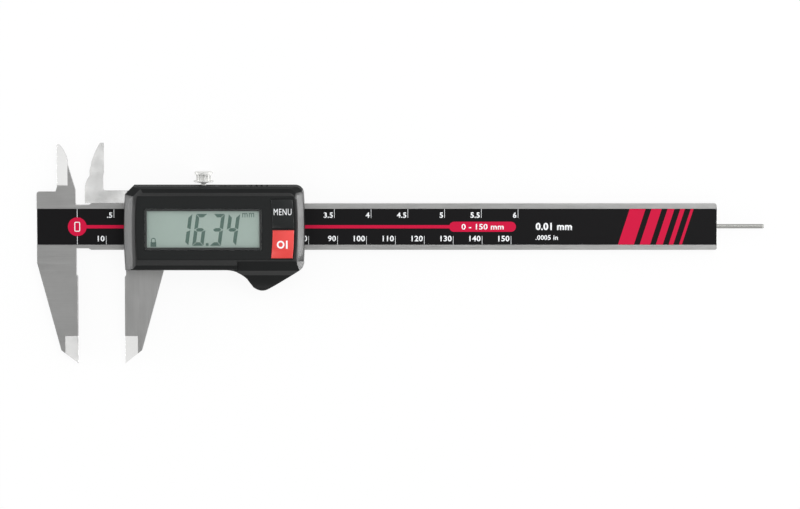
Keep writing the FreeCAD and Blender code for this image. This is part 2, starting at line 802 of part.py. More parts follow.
def lock_screw():
    pad = Piece("clamp_pad", SLIDING)
    pad.pad(pad_start(), pad_start() + s.pad_length, (s.lock_place, s.lock_height, s.pad_size), view="front")
    tip = pad_start() + s.pad_length + s.lock_touch
    cone = s.housing_half + s.lock_lift
    flange = cone + s.lock_cone_thick
    body = flange + s.lock_flange_thick
    rim = body + s.lock_body_length
    top = rim + s.lock_rim_thick
    profile = [
        (0, tip), (s.lock_shank / 2, tip), (s.lock_shank / 2, cone), (s.lock_cone / 2, cone),
        (s.lock_flange / 2, flange), (s.lock_flange / 2, body), (s.lock_body / 2, body), (s.lock_body / 2, rim),
        (s.lock_rim / 2, rim), (s.lock_rim / 2, top - 0.2), (s.lock_rim / 2 - 0.2, top), (0, top),
    ]
    screw = Piece("lock_screw", SLIDING)
    screw.spin(profile, s.lock_place, s.lock_height)
    flutes = []
    for i in range(FLUTES):
        turn = 2 * math.pi * i / FLUTES
        flutes.append((s.lock_place + s.lock_body / 2 * math.cos(turn), s.lock_height + s.lock_body / 2 * math.sin(turn),
                       s.lock_flute))
    screw.cut(body, rim, *flutes, view="front")


# housing

def housing_outline(at_left, at_right, edge):
    """The housing in plan, drawn in by its own distance at each end and along its long edges."""
    left = s.bow_left + at_left
    half = s.housing_half - edge
    head = s.housing_length - s.bow_head - at_right
    corner = s.corner_radius
    return [
        (left, -half),
        (s.housing_length - s.bow_foot - at_right, -half, s.side_radius),
        (head, half - corner, corner),
        (head - corner, half),
        (left + s.corner_cut, half),
        (left, half - s.corner_cut, s.side_radius),
    ]


def panel_outline(play):
    """The front panel, whose ends are bowed like the housing's."""
    left, right = s.panel_left + play, panel_right - play
    return [
        (left, play - s.panel_bottom),
        (right - s.panel_foot, play - s.panel_bottom, s.bow_radius),
        (right, s.panel_top - play),
        (left, s.panel_top - play, s.bow_radius),
    ]


def cell_slot():
    """The battery's way in, open to the bottom edge."""
    reach = s.cell_size / 2 + s.cell_fit
    return [
        (cell_x - reach, -s.housing_half - 2),
        (cell_x + reach, -s.housing_half - 2),
        (cell_x + reach, s.cell_y, reach),
        (cell_x, s.cell_y + reach, reach),
        (cell_x - reach, s.cell_y),
    ]


def housing():
    shell = Piece("housing", SLIDING)
    wall = housing_outline(0, 0, 0)
    shoulder = housing_outline(s.bevel_left, s.bevel_right, s.bevel_long)
    crown = housing_outline(s.bevel_left + s.crown_left, s.bevel_right + s.crown_right, s.bevel_long + s.crown_long)
    shell.pad(s.housing_bottom, s.housing_edge, wall)
    shell.loft(s.housing_edge, s.housing_shoulder, wall, shoulder)
    shell.loft(s.housing_shoulder, s.housing_front, shoulder, crown)
    drop = s.housing_half + s.thumb_tail_drop
    tail = [(door_left, -drop), (door_left, 1 - s.housing_half), (thumb_tail, 1 - s.housing_half),
            (thumb_tail, -s.housing_half, -1 * s.thumb_bend)]
    shell.pad(s.housing_bottom, s.housing_edge, tail)
    fit, far = s.housing_fit, s.housing_half + 3
    shell.cut(s.housing_bottom, floor_bottom,
              box(s.frame_left - fit, frame_right + fit, -s.frame_bottom - fit, s.frame_top + fit))
    shell.cut(s.housing_bottom, s.skirt_height, box(-2, s.frame_left + 1, -far, s.frame_top + fit))
    shell.cut(s.housing_bottom, s.skirt_height, box(frame_right - 1, s.housing_length + 1,
                                                    -half_beam - s.skirt_gap, half_beam + s.skirt_gap))
    shell.cut(s.housing_bottom, s.skirt_height, box(-2, s.moving_jaw_width + 0.6, -far, 1 - s.frame_bottom))
    shell.cut(floor_top, board_bottom_face, box(s.room_left, room_right, -s.room_bottom, s.room_top))
    shell.cut(floor_top, board_bottom_face, cell_slot())
    shell.cut(board_bottom_face, ledge, box(s.board_left - s.board_fit, board_right + s.board_fit,
                                            -s.board_bottom - s.board_fit, s.board_top + s.board_fit))
    low_key = flange_top - s.button_flange_thick - s.button_stroke - s.slide_gap
    shell.cut(low_key, ledge, box(button_left - s.button_flange - s.board_fit, key_side(button_right, 0) + s.board_fit,
                                  -s.zero_bottom - s.board_fit, s.menu_top + s.board_fit))
    shell.cut(ledge, s.housing_front, panel_outline(0))
    shell.cut(floor_bottom, floor_top, pin_opening())
    shell.cut(s.housing_bottom, s.door_step_height, box(door_left, s.housing_length + 1, -far, -s.door_step))
    shell.cut(s.door_step_height, s.housing_front, box(door_left, s.housing_length + 1, -far, -s.door_seat))
    groove_gap = s.housing_fit
    shell.cut(s.tongue_height - groove_gap, s.tongue_height + s.tongue_thick + groove_gap,
              box(tongue_left - 0.2, s.housing_length + 1, -s.door_seat - 1,
                  s.tongue_depth + groove_gap - s.door_seat))
    shell.cut(s.frame_top, s.housing_half + 1, (s.lock_place, s.lock_height, s.lock_hole + 0.4), view="front")
    shell.cut(floor_bottom, s.housing_screw_depth + s.cover_thick + s.screw_fit,
              *[(x, y, s.screw_size) for x, y in housing_screw_spots()])
    port_slot(shell)
    screws("housing_screws", SLIDING, housing_screw_spots(), s.cover_thick + s.screw_fit,
           s.cover_thick + s.housing_screw_depth)


def pin_opening():
    """The opening in the housing's floor for the header between the two boards."""
    half = s.pin_opening / 2
    return box(s.pin_left - half, s.pin_left + s.pin_pitch * (HEADER_PINS - 1) + half, -half, half)


def gasket():
    ring = Piece("housing_gasket", SLIDING)
    rim = s.gasket_rim
    left, right = s.frame_left + rim, frame_right - rim
    bottom, top = rim - s.frame_bottom, s.frame_top - rim
    ring.pad(s.frame_front, floor_bottom, box(left, right, bottom, top))
    inner = s.window_width / 2 + s.sensor_rim - rim
    ring.cut(s.frame_front, floor_bottom, box(s.window_left - rim, window_right + rim, -inner, inner))
    ring.cut(s.frame_front, floor_bottom, *[(x, y, s.screw_size + 4 * s.screw_fit) for x, y in housing_screw_spots()])


# electronics

def boards():
    """The sensor board over the scale, the circuit board above the battery, and the header between them."""
    sensor = Piece("sensor_board", SLIDING)
    sensor.pad(s.frame_front - s.sensor_thick, s.frame_front, sensor_outline(s.board_fit / 2))
    board = Piece("circuit_board", SLIDING)
    board.pad(board_bottom_face, board_top_face, box(s.board_left, board_right, -s.board_bottom, s.board_top))
    header = Piece("board_header", SLIDING)
    half = s.pin_size / 2
    spots = [s.pin_left + s.pin_pitch * i for i in range(HEADER_PINS)]
    header.pad(s.frame_front, board_bottom_face, *[box(x - half, x + half, -half, half) for x in spots])
    bar = s.pin_opening / 2 - s.board_fit
    header.pad(floor_top, floor_top + s.pin_opening / 2, box(spots[0] - bar, spots[-1] + bar, -bar, bar))
    chips = Piece("board_chips", SLIDING)
    middle = (s.room_left + room_right) / 2
    big, small = s.chip_size, s.chip_size / 4
    row = s.pin_opening
    near, far = room_right - big, s.room_left + big / 2
    chips.pad(board_bottom_face - s.chip_thick, board_bottom_face,
              box(middle - big / 2, middle + big / 2, row / 2 + s.board_fit * 2, row / 2 + s.board_fit * 2 + big),
              box(near, near + small * 2, row, row + small), box(far - small, far, -row - small, -row),
              box(near, near + small * 3, -row - small * 2, -row - small))


def display():
    """The LCD, the conductive strips that join it to the board, and the clear window in the panel."""
    rim = s.glass_rim
    glass = Piece("lcd_panel", SLIDING)
    top = ledge - s.glass_gap
    glass.pad(top - s.glass_thick, top, box(s.lcd_left - rim, lcd_right + rim, -s.lcd_bottom - rim, s.lcd_top + rim))
    strips = Piece("lcd_connectors", SLIDING)
    left, right = s.lcd_left, lcd_right
    low, high = -s.lcd_bottom - rim, s.lcd_top + rim
    strips.pad(board_top_face, top - s.glass_thick, box(left, right, low, low + s.strip_width),
               box(left, right, high - s.strip_width, high))
    window = Piece("display_window", SLIDING)
    window.pad(panel_top_face - s.window_thick, panel_top_face, window_outline(s.panel_fit))


def window_outline(play):
    reach = s.window_rim - play
    return rounded_box(s.lcd_left - reach, lcd_right + reach, -s.lcd_bottom - reach, s.lcd_top + reach,
                       s.panel_corner)


def key_side(corner, y):
    """How far along a button's side is at a height, where both sides run bowed like the housing's end."""
    return corner + (s.menu_top * s.menu_top - sized(y) * y) / (2 * s.bow_radius)


def button_outline(bottom, top, play):
    """A button in plan, whose sides follow the bow of the housing's end; play takes it in all round."""
    low, high = bottom + play, top - play
    return [
        (key_side(button_left + play, low), low),
        (key_side(button_right - play, low), low, s.bow_radius),
        (key_side(button_right - play, high), high),
        (key_side(button_left + play, high), high, -1 * s.bow_radius),
    ]


def menu_span():
    return s.button_split, s.menu_top


def zero_span():
    return -s.zero_bottom, s.button_split - s.button_gap


def front_panel():
    panel = Piece("front_panel", SLIDING)
    panel.pad(ledge, panel_top_face, panel_outline(s.panel_fit))
    panel.cut(ledge, panel_top_face, box(s.lcd_left, lcd_right, -s.lcd_bottom, s.lcd_top))
    panel.cut(panel_top_face - s.window_thick, panel_top_face, window_outline(0))
    for bottom, top in (menu_span(), zero_span()):
        panel.cut(ledge, panel_top_face, button_outline(bottom, top, 0))


def button(label, span):
    key = Piece(label, SLIDING)
    bottom, top = span
    flange_bottom = flange_top - s.button_flange_thick
    key.pad(flange_bottom, s.housing_front + s.button_rise, button_outline(bottom, top, s.button_fit))
    inner = button_outline(bottom, top, s.button_fit)
    flange = [(inner[0][0] - s.button_flange, inner[0][1]), inner[1], inner[2],
              (inner[3][0] - s.button_flange, inner[3][1], -1 * s.bow_radius)]
    key.pad(flange_bottom, flange_top, flange)
    front = s.housing_front + s.button_rise
    key.finish_edges("Fillet", s.button_fit * 2, lambda e: e.ZMin > sized(front).number - 0.01)


def keypad_membrane():
    sheet = Piece("keypad_membrane", SLIDING)
    left, right = button_left - s.button_flange, button_right + s.button_flange
    sheet.pad(board_top_face, board_top_face + s.membrane_thick,
              box(left, board_right, -s.board_bottom + s.board_fit, s.board_top - s.board_fit))
    dome_top = flange_top - s.button_flange_thick - s.button_stroke - s.slide_gap
    middle = (left + right) / 2
    domes = [(middle, (bottom + top) / 2, 4.0) for bottom, top in (menu_span(), zero_span())]
    sheet.pad(board_top_face, dome_top, *domes)


def battery():
    cell = Piece("battery_cell", SLIDING)
    low = floor_top + s.contact_thick
    cell.pad(low, low + s.cell_thick - 0.6, (cell_x, s.cell_y, s.cell_size))
    cell.pad(low, low + s.cell_thick, (cell_x, s.cell_y, s.cell_size - 2.4))
    contacts = Piece("battery_contacts", SLIDING)
    x, y, half = cell_x, s.cell_y, 1.5
    contacts.pad(floor_top, low, box(x - 6, x + 6, y - half, y + half))
    contacts.pad(low + s.cell_thick, board_bottom_face, box(x - 6, x + 6, y - half, y + half))


# battery door with the thumb rest

def battery_door():
    door = Piece("battery_door", SLIDING)
    left = door_left + s.door_gap
    step = s.door_step + s.door_gap
    seat = s.door_seat + s.door_gap
    drop = s.housing_half + s.thumb_tail_drop
    right = s.housing_length - s.bow_foot + s.door_gap * 6
    tip, radius = thumb_tip, s.thumb_radius
    slope = math.radians(STEEP)
    ramp_start_x = tip + radius * math.sin(slope)
    ramp_start_y = -s.thumb_reach + radius - radius * math.cos(slope)
    ramp_end_x = right - s.thumb_ramp_inset
    ramp_end_y = ramp_start_y + (ramp_end_x - ramp_start_x) * math.tan(slope)
    side = math.sin(math.radians(45))
    outline = [
        (left, -drop, -1 * s.thumb_bend),
        (thumb_tail + s.thumb_bend * side, s.thumb_bend * (side - 1) - s.housing_half),
        (tip - radius * side, -s.thumb_reach + radius - radius * side, radius),
        (ramp_start_x, ramp_start_y),
        (ramp_end_x, ramp_end_y, s.thumb_corner),
        (right, -step),
        (left, -step),
    ]
    door.pad(s.door_bottom, s.housing_front, outline)
    door.pad(s.door_step_height + s.door_gap, s.housing_front, box(left, right, -step - 0.2, -seat))
    door.pad(s.tongue_height, s.tongue_height + s.tongue_thick,
             box(tongue_left, right, -seat - 0.5, s.tongue_depth - s.door_seat))
    front, above = s.housing_front, s.housing_front + 1
    deep = s.thumb_reach + 1
    crest = s.housing_half + s.thumb_crest
    slope_side = [(-deep, front - s.thumb_floor - 0.1), (0.6 - s.thumb_reach, front - s.thumb_floor, -7.5),
                  (-crest, front - s.thumb_crest, 16.0), (-seat, front), (-seat, above), (-deep, above)]
    door.cut(left - 1, s.housing_length + 1, slope_side, view="side")
    end = right + 1
    shoulder, crown = right - s.bevel_right, right - s.bevel_right - s.crown_right
    bevel = [(end, s.housing_edge), (end, above), (crown, above), (crown, front), (shoulder, s.housing_shoulder),
             (right, s.housing_edge)]
    door.cut(-deep, 2 - s.door_seat, bevel, view="front")


# data port

def port_slot(shell):
    """A slot for the sliding cover, undercut so that the cover's flanges stay in."""
    far = port_left + s.port_length + s.port_fit
    near = port_left - s.port_travel - s.port_fit
    wall = s.housing_half - s.port_lip_thick
    floor = wall - s.port_flange - s.port_fit * 2
    low, high, lip, fit = s.port_low, s.port_high, s.port_lip, s.port_fit
    shell.cut(floor, s.housing_half + 1, box(near, far, low - fit, high + fit), view="front")
    shell.cut(floor, wall, box(near, far, low - lip - fit, high + lip + fit), view="front")
    pads = Piece("port_contacts", SLIDING)
    step = s.port_length / (PORT_PADS + 1)
    middle = (low + high) / 2
    shapes = [box(port_left + step * (i + 1) - 0.4, port_left + step * (i + 1) + 0.4, middle - 0.9, middle + 0.9)
              for i in range(PORT_PADS)]
    shell.cut(floor - s.port_pad, floor + 0.1, *shapes, view="front")
    pads.pad(floor - s.port_pad, floor, *shapes, view="front")
    cover = Piece("port_cover", SLIDING)
    left, right = port_left, port_left + s.port_length
    cover.pad(floor + fit, wall - fit, box(left, right, low - lip, high + lip), view="front")
    cover.pad(floor + fit, s.housing_half, box(left, right, low, high), view="front")
    first = left + s.port_rib_lead
    ribs = [box(first + s.port_rib_pitch * i, first + s.port_rib_pitch * i + s.port_rib_width, low, high)
            for i in range(RIBS)]
    cover.pad(s.housing_half, s.housing_half + s.port_rib, *ribs, view="front")


beam_fixed_jaws()
scale()
end_stop()
slider_frame()
gib()
scale_wipers()
back_cover()
depth_rod()
lock_screw()
housing()
gasket()
boards()
display()
front_panel()
button("menu_button", menu_span())
button("zero_button", zero_span())
keypad_membrane()
battery()
battery_door()
doc.recompute()

# every object and every shape is checked before anything is written
for thing in doc.Objects:
    if "Invalid" in thing.State or "Error" in thing.State:
        raise RuntimeError("%s is in state %s" % (thing.Label, thing.State))
bodies = [thing for thing in doc.Objects if thing.TypeId == "PartDesign::Body"]
for body in bodies:
    if body.Shape.isNull() or not body.Shape.isValid():
        raise RuntimeError("%s has no valid shape" % body.Label)
os.makedirs("parts", exist_ok=True)
for body in bodies:
    body.Shape.exportStep("parts/%s.step" % body.Label)
    print("%-20s %2d solids %10.2f mm3" % (body.Label, len(body.Shape.Solids), body.Shape.Volume))
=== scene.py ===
"""Finishes for a digital caliper: ground steel, printed scale, moulded housing and display.

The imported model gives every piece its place. This script adds edges, print and materials to it.
"""

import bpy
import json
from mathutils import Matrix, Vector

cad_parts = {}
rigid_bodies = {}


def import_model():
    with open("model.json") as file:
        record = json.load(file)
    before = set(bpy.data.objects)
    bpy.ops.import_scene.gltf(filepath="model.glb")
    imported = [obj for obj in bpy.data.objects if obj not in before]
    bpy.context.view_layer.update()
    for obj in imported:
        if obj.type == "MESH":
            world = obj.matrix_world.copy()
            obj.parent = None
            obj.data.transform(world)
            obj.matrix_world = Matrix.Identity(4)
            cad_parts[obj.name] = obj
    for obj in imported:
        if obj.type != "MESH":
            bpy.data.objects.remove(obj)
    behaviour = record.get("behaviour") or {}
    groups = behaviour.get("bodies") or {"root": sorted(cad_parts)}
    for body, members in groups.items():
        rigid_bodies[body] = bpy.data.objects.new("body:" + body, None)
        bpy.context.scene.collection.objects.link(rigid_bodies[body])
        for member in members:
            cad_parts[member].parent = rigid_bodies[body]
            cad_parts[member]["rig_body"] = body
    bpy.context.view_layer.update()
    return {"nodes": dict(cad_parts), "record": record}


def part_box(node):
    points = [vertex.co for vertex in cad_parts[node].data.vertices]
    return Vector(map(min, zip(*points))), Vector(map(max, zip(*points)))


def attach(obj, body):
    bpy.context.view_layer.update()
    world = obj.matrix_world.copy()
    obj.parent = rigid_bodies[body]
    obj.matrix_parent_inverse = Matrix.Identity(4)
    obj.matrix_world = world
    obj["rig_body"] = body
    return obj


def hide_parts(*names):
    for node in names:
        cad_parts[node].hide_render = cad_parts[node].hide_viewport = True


bl_info = {
    "name": "Digital Caliper Finish",
    "version": (1, 0, 0),
    "blender": (4, 5, 0),
    "location": "View3D > Sidebar > Caliper",
    "description": "Dresses the packed model of a digital caliper",
    "category": "Object",
}

import json
import math

import bmesh
import bpy
from bpy.props import FloatProperty, FloatVectorProperty, IntProperty, PointerProperty, StringProperty
from bpy.types import Operator, Panel, PropertyGroup
from mathutils import Matrix, Vector

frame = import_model()

MM = 0.001
MOUNTS = {mount["name"]: Vector(mount["pos_m"]) for mount in frame["record"]["mounts"]}
FIXED_X = MOUNTS["fixed_jaw_face"].x
SLIDING_X = MOUNTS["moving_jaw_face"].x
FILM_LOW, FILM_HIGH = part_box("scale_film")
CENTRE_Y = (FILM_LOW.y + FILM_HIGH.y) / 2
FILM_TOP = FILM_HIGH.z
LCD_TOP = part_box("lcd_panel")[1].z
BUTTON_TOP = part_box("menu_button")[1].z
# how far print stands proud of what it is on
PRINT = 0.012 * MM
# from the centreline to each long edge of the film, in millimetres
FILM_HALF = 6.2


def on_beam(x, y):
    """A place on the beam's print, from the fixed jaw's face and the centreline, in millimetres."""
    return Vector((FIXED_X + x * MM, CENTRE_Y + y * MM, 0))


def on_slider(x, y):
    """A place on the slider, from the moving jaw's face and the centreline, in millimetres."""
    return Vector((SLIDING_X + x * MM, CENTRE_Y + y * MM, 0))


def linear(hex_colour):
    """A colour from its sRGB hex value, as the linear numbers that the shaders use."""
    parts = [int(hex_colour[i:i + 2], 16) / 255 for i in (1, 3, 5)]
    return [p / 12.92 if p <= 0.04045 else ((p + 0.055) / 1.055) ** 2.4 for p in parts]


def shade(colour, amount=1.0):
    """A colour with full alpha, darker where the amount is below 1 and lighter above it."""
    return [min(c * amount, 1.0) for c in colour[:3]] + [1.0]


def length(name, description, size):
    """A property for a length, given in millimetres."""
    return FloatProperty(name=name, description=description, default=size * MM, subtype="DISTANCE",
                         unit="LENGTH")


def finish_colour(name, description, hex_colour):
    """A property for a finish's colour."""
    return FloatVectorProperty(name=name, description=description, default=linear(hex_colour),
                               subtype="COLOR", min=0.0, max=1.0)


class CaliperPrint(PropertyGroup):
    """Sizes of the printed scale."""
    tick_width: length("Tick width", "Width of a scale line", 0.14)
    inch_numeral: length("Inch numerals", "Height of the inch numerals", 1.95)
    mm_numeral: length("Millimetre numerals", "Height of the millimetre numerals", 2.0)
    line_width: length("Centre line", "Width of the coloured line", 1.15)
    disc: length("Zero disc", "Diameter of the disc at zero", 6.5)
    last_mm: IntProperty(name="Last millimetre mark", description="Where the metric scale ends", default=150)
    last_half_inch: IntProperty(name="Last half inch", description="Number of half-inch marks", default=12)


class CaliperDisplay(PropertyGroup):
    """What the display shows, and its size."""
    reading: StringProperty(name="Reading", description="Digits on the display", default="16.34")
    digit_height: length("Digit height", "Height of a digit", 11.0)
    digit_width: length("Digit width", "Width of a digit", 3.9)
    pitch: length("Digit pitch", "From one digit to the next", 5.2)
    stroke: length("Segment width", "Width of a segment", 1.22)
    slant: FloatProperty(name="Slant", description="Sideways lean per unit of height", default=0.135,
                         subtype="FACTOR", min=0.0, max=1.0)


class CaliperColours(PropertyGroup):
    """Colours of the finishes."""
    steel: finish_colour("Ground steel", "Beam and jaws", "#b6b6b5")
    bright: finish_colour("Polished steel", "Blades and jaw tips", "#ebebea")
    film: finish_colour("Scale film", "Film on the beam", "#0b0a0c")
    crimson: finish_colour("Crimson print", "Line and disc", "#c8003a")
    white: finish_colour("White print", "Numerals and ticks", "#eef0f2")
    housing: finish_colour("Housing plastic", "Moulded housing", "#151616")
    panel: finish_colour("Front panel", "Dark face", "#0d1010")
    lcd: finish_colour("Display", "Unlit display", "#9daea6")
    segment: finish_colour("Segments", "Shown segments", "#4d675e")
    red: finish_colour("Red key", "Zero key", "#d73c38")


class CaliperStudio(PropertyGroup):
    """Camera and light."""
    view_width: length("View width", "Width that the camera sees", 276.8)
    tilt: FloatProperty(name="Tilt", description="Camera's lean from straight above",
                        default=math.radians(5.0), subtype="ANGLE", unit="ROTATION")
    lens: FloatProperty(name="Lens", description="Focal length", default=180.0, subtype="DISTANCE_CAMERA")
    overhead: FloatProperty(name="Overhead", description="Brightness straight above, where white is 1",
                            default=0.05, subtype="FACTOR", min=0.0, max=1.0)
    walls: FloatProperty(name="Walls", description="Brightness all round, where white is 1",
                         default=0.95, subtype="FACTOR", min=0.0, max=1.0)


GROUPS = (
    ("caliper_print", CaliperPrint),
    ("caliper_display", CaliperDisplay),
    ("caliper_colours", CaliperColours),
    ("caliper_studio", CaliperStudio),
)


# nodes and materials

# a pattern's stretch along x, y and z: lines along the beam, lines up the jaws, or the same each way
LENGTHWISE, UPRIGHT, EVEN = (60, 1, 1), (1, 60, 1), (1, 1, 1)


def add(tree, kind, links=(), **settings):
    """Adds a node. A setting is a property of the node, or the value of the input with that name.

    An input that shares its name with others goes by its number: in0, in1 and so on.
    """
    node = tree.nodes.new(kind)
    for name, value in settings.items():
        if hasattr(node, name):
            setattr(node, name, value)
        else:
            socket = int(name[2:]) if name[:2] == "in" and name[2:].isdigit() else name.replace("_", " ")
            node.inputs[socket].default_value = value
    for source, target in links:
        tree.links.new(source, node.inputs[target])
    return node


def start_material(name, **settings):
    """An empty node material with its surface shader, set as given, and its output."""
    material = bpy.data.materials.new(name)
    material.use_nodes = True
    tree = material.node_tree
    tree.nodes.clear()
    shader = add(tree, "ShaderNodeBsdfPrincipled", **settings)
    add(tree, "ShaderNodeOutputMaterial", [(shader.outputs["BSDF"], "Surface")])
    return material, tree, shader


def grain(tree, across, stretch=EVEN, detail=2.0):
    """A pattern of soft grains, their size across given in millimetres and stretched along each axis."""
    place = add(tree, "ShaderNodeTexCoord")
    scale = [1 / (across * MM * s) for s in stretch]
    mapping = add(tree, "ShaderNodeMapping", [(place.outputs["Object"], "Vector")], Scale=scale)
    noise = add(tree, "ShaderNodeTexNoise", [(mapping.outputs["Vector"], "Vector")], Scale=1.0, Detail=detail,
                Roughness=0.6)
    return noise.outputs["Fac"]


def texture(tree, shader, colour, shades, tone, relief, strength, height, rough=None):
    """One pattern moves the colour between two shades of it, and another raises a relief in millimetres.

    Where a roughness is given, the second pattern makes the surface a little smoother or duller too.
    """
    mix = add(tree, "ShaderNodeMix", [(tone, 0)], data_type="RGBA", in6=shade(colour, shades[0]),
              in7=shade(colour, shades[1]))
    tree.links.new(mix.outputs[2], shader.inputs["Base Color"])
    if rough is not None:
        gloss = add(tree, "ShaderNodeMapRange", [(relief, "Value")], From_Min=0.3, From_Max=0.7,
                    To_Min=rough - 0.04, To_Max=rough + 0.06)
        tree.links.new(gloss.outputs["Result"], shader.inputs["Roughness"])
    bump = add(tree, "ShaderNodeBump", [(relief, "Height")], Strength=strength, Distance=height * MM)
    tree.links.new(bump.outputs["Normal"], shader.inputs["Normal"])


def ground_steel(name, colour, rough, streak, along, depth, spread):
    """Stainless steel, surface ground: fine parallel scratches that draw reflections out across them.

    Real grinding lines are a few hundredths of a millimetre apart. They are drawn coarser, so that they show.
    """
    material, tree, shader = start_material(name, Metallic=1.0)
    scratches = grain(tree, streak, along, 3.0)
    clouds = grain(tree, 9.0)
    tone = add(tree, "ShaderNodeMath", [(scratches, 0), (clouds, 1)], operation="ADD")
    half = add(tree, "ShaderNodeMath", [(tone.outputs[0], 0)], operation="MULTIPLY", in1=0.5)
    texture(tree, shader, colour, (1 - spread, 1 + spread), half.outputs[0], scratches, depth, 0.01, rough)
    return material


def plain_metal(name, colour, rough):
    """Bright turned or plated metal with faint tool marks."""
    material, tree, shader = start_material(name, Metallic=1.0, Roughness=rough)
    marks = grain(tree, 0.5, EVEN, 3.0)
    texture(tree, shader, colour, (0.9, 1.08), marks, marks, 0.1, 0.01)
    return material


def moulded(name, colour, rough, across, depth, variation=0.2, specular=0.5):
    """Moulded plastic or rubber: a fine even texture from the mould, with slight changes of tone."""
    material, tree, shader = start_material(name, IOR=1.5, Specular_IOR_Level=specular)
    pattern = grain(tree, across)
    clouds = grain(tree, 14.0)
    texture(tree, shader, colour, (1 - variation, 1 + variation), clouds, pattern, depth, 0.03, rough)
    return material


def printed(name, colour, rough=0.42):
    """Ink printed on film or plastic: an even colour with a slightly uneven gloss."""
    return moulded(name, colour, rough, 0.12, 0.05, 0.05, 0.22)


def clear_window(name):
    """A coated acrylic window: light passes, and only the small share that its coating throws back shows."""
    material, tree, shader = start_material(name, Base_Color=shade(linear("#f4f8f6")), Metallic=1.0)
    dust = grain(tree, 6.0, EVEN, 3.0)
    haze = add(tree, "ShaderNodeMapRange", [(dust, "Value")], To_Min=0.04, To_Max=0.1)
    tree.links.new(haze.outputs["Result"], shader.inputs["Roughness"])
    # the coating throws back 2% of the light that falls on it straight, and all of it at a grazing angle
    slope = add(tree, "ShaderNodeLayerWeight", Blend=0.5)
    steep = add(tree, "ShaderNodeMath", [(slope.outputs["Facing"], 0)], operation="POWER", in1=5.0)
    share = add(tree, "ShaderNodeMapRange", [(steep.outputs[0], "Value")], To_Min=0.017, To_Max=1.0)
    tree.links.new(share.outputs["Result"], shader.inputs["Alpha"])
    return material


MATERIALS = {}


def make_materials(colours):
    """Every finish of the caliper, by a maker's name."""
    MATERIALS.update({
        # surface ground stainless: a satin grey with lines along the beam
        "beam_steel": ground_steel("satin ground stainless", colours.steel, 0.36, 0.16, LENGTHWISE,
                                   0.35, 0.2),
        # the same steel ground across the beam: the lines run up the jaws
        "jaw_steel": ground_steel("satin ground stainless, upright", colours.steel, 0.36, 0.16, UPRIGHT,
                                  0.35, 0.2),
        # lapped tips and blades: paler and smooth, and they show the surroundings more clearly
        "bright_steel": ground_steel("lapped stainless", colours.bright, 0.17, 4.0, (2, 2, 1), 0.001, 0.02),
        # brushed sheet on the back: the same grey with a little more shine
        "cover_steel": ground_steel("brushed stainless sheet", linear("#b4b4b1"), 0.3, 0.14, LENGTHWISE,
                                    0.45, 0.2),
        # drawn rod: faint lines along it and a narrow highlight
        "rod_steel": ground_steel("drawn stainless rod", linear("#9c9c99"), 0.28, 0.1, LENGTHWISE, 0.2, 0.1),
        # small turned screws: bright grey with crisp highlights
        "screw_steel": plain_metal("bright steel screw", linear("#c9c9c6"), 0.22),
        # matt chrome on a turned screw: light greys that are darker where it mirrors the housing
        "lock_chrome": plain_metal("matt chromed turned steel", linear("#e4e4e2"), 0.68),
        # drawn and cut brass: a warm yellow
        "brass": plain_metal("drawn brass", linear("#c8a55a"), 0.3),
        # thin gold plate: a deeper yellow with small highlights
        "contact_gold": plain_metal("gold plated contact", linear("#dcb65e"), 0.25),
        # nickel plate on the battery: pale, and it mirrors what is near
        "cell_steel": plain_metal("nickelled battery case", linear("#c8c8c4"), 0.28),
        # polyester film with inks under a satin lacquer: flat colours with little gloss
        "scale_film": moulded("printed scale film", colours.film, 0.42, 0.12, 0.05, 0.05, 0.15),
        # screen-printed inks: flat and even
        "crimson": printed("crimson ink", colours.crimson),
        "white": printed("white ink", colours.white),
        # spark-eroded mould texture: a dull sheen on the bevels
        "housing": moulded("moulded ABS, spark textured", colours.housing, 0.35, 0.16, 0.4, 0.2, 0.6),
        # painted shade on the long walls: a copy of the housing finish with the same texture but almost no
        # sheen, so that they stay dark, and a colour 1.3 times lighter to set their tone
        "housing_dull_shade": moulded("moulded ABS, dull painted shade", shade(colours.housing, 1.3), 0.7, 0.16, 0.4,
                                0.2, 0.12),
        # satin film over the face: flat and dark, with a soft wide reflection
        "panel": moulded("satin polycarbonate film", colours.panel, 0.36, 0.1, 0.12, 0.1, 0.35),
        # moulded keys: dull, with a fine even grain
        "key_dark": moulded("moulded silicone key", linear("#0d1111"), 0.42, 0.12, 0.25, 0.1, 0.35),
        "key_red": moulded("red moulded key", colours.red, 0.42, 0.12, 0.25, 0.06),
        # liquid crystal glass in front of a reflector: pale green-grey, evenly dull
        "lcd": moulded("display glass with reflector", colours.lcd, 0.3, 0.3, 0.03, 0.05),
        # switched-on liquid crystal: the same green-grey, darkened
        "segment": printed("display segments", colours.segment, 0.35),
        "window": clear_window("coated acrylic window"),
        # unpolished rubber: black and dull
        "rubber": moulded("black rubber", linear("#171717"), 0.7, 0.2, 0.5),
        # solder resist on glass fibre: a green lacquer that is not quite even
        "circuit": moulded("scale circuit strip", linear("#2c5a34"), 0.4, 0.3, 0.2),
        "board": moulded("circuit board, solder resist", linear("#14522c"), 0.35, 0.4, 0.2),
        # epoxy that chips are cast in: near black and faintly rough
        "chip": moulded("moulded epoxy", linear("#161616"), 0.5, 0.1, 0.3),
    })


# meshes

def link_piece(name, mesh, body, material):
    """A finished piece: linked, on its body, and with its finish where the mesh has none."""
    piece = bpy.data.objects.new(name, mesh)
    bpy.context.scene.collection.objects.link(piece)
    if not mesh.materials:
        mesh.materials.append(MATERIALS[material])
    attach(piece, body)
    return piece


def mesh_from(bm, name):
    """A named mesh from a bmesh, which is freed."""
    mesh = bpy.data.meshes.new(name)
    bm.to_mesh(mesh)
    bm.free()
    return mesh


